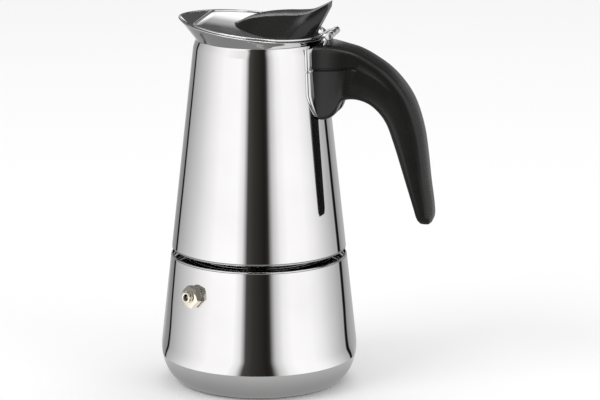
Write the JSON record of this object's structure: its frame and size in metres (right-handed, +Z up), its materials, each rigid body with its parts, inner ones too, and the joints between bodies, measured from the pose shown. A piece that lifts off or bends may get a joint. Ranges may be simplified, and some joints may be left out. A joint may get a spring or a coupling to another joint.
{
  "type": "moka pot",
  "caption": "Tapered stainless stove-top coffee pot: boiler with safety valve, funnel basket, screw-on upper vessel with spout, hinged lid with black thumb leaf and black curved handle.",
  "frame": {"origin": "centre of the flat underside of the boiler, on the pot's axis", "axes": "+Z up along the pot's axis, +X towards the handle, -X towards the spout, lid hinge along Y"},
  "size_m": [0.1292, 0.0918, 0.1826],
  "materials": {
    "polished_steel": "mirror polished stainless steel",
    "satin_steel": "satin stainless steel",
    "black_grip": "satin black moulded phenolic",
    "valve_nickel": "nickel plated brass",
    "valve_pin": "turned brass",
    "spring_wire": "drawn spring wire",
    "silicone": "matt silicone",
    "screw_steel": "zinc plated steel"
  },
  "bodies": {
    "boiler": {"boiler_shell": "polished_steel", "valve_body": "valve_nickel", "valve_end_ring": "valve_nickel", "valve_outer_washer": "silicone", "valve_inner_washer": "silicone", "valve_lock_nut": "valve_nickel", "valve_spring": "spring_wire"},
    "plunger": {"valve_plunger": "valve_pin"},
    "funnel": {"funnel_cup": "satin_steel", "funnel_stem": "satin_steel", "funnel_sieve": "satin_steel"},
    "seal": {"gasket": "silicone", "filter_plate": "satin_steel"},
    "chamber": {"chamber_shell": "polished_steel", "chamber_floor": "satin_steel", "thread_collar": "satin_steel", "column": "satin_steel", "column_cap": "satin_steel", "handle_bracket": "polished_steel", "handle": "black_grip", "handle_screw": "screw_steel", "hinge_bracket": "polished_steel", "hinge_pin": "polished_steel"},
    "lid": {"lid_shell": "polished_steel", "lid_leaf": "black_grip", "lid_screws": "screw_steel"}
  },
  "joints": [
    {"name": "lift_off", "type": "slide", "parent": "boiler", "child": "funnel", "axis": [0, 0, 1], "range_m": [0, 0.072]},
    {"name": "chamber_rise", "type": "slide", "parent": "funnel", "child": "seal", "axis": [0, 0, 1], "range_m": [0, 0.0062]},
    {"name": "chamber_turn", "type": "hinge", "parent": "seal", "child": "chamber", "pos_m": [0, 0, 0.07], "axis": [0, 0, 1], "range_deg": [0, 630]},
    {"name": "lid_swing", "type": "hinge", "parent": "chamber", "child": "lid", "pos_m": [0.0353, 0, 0.1679], "axis": [0, 1, 0], "range_deg": [0, 105]},
    {"name": "valve_pop", "type": "slide", "parent": "boiler", "child": "plunger", "axis": [-0.506, -0.8556, 0.1088], "range_m": [0, 0.0012], "stiffness_N_per_m": 300, "springref_m": -0.004, "deforming": ["valve_spring"]}
  ],
  "couplings": [
    {"joint": "chamber_rise", "follows": "chamber_turn", "m_per_rad": 0.00055704}
  ]
}
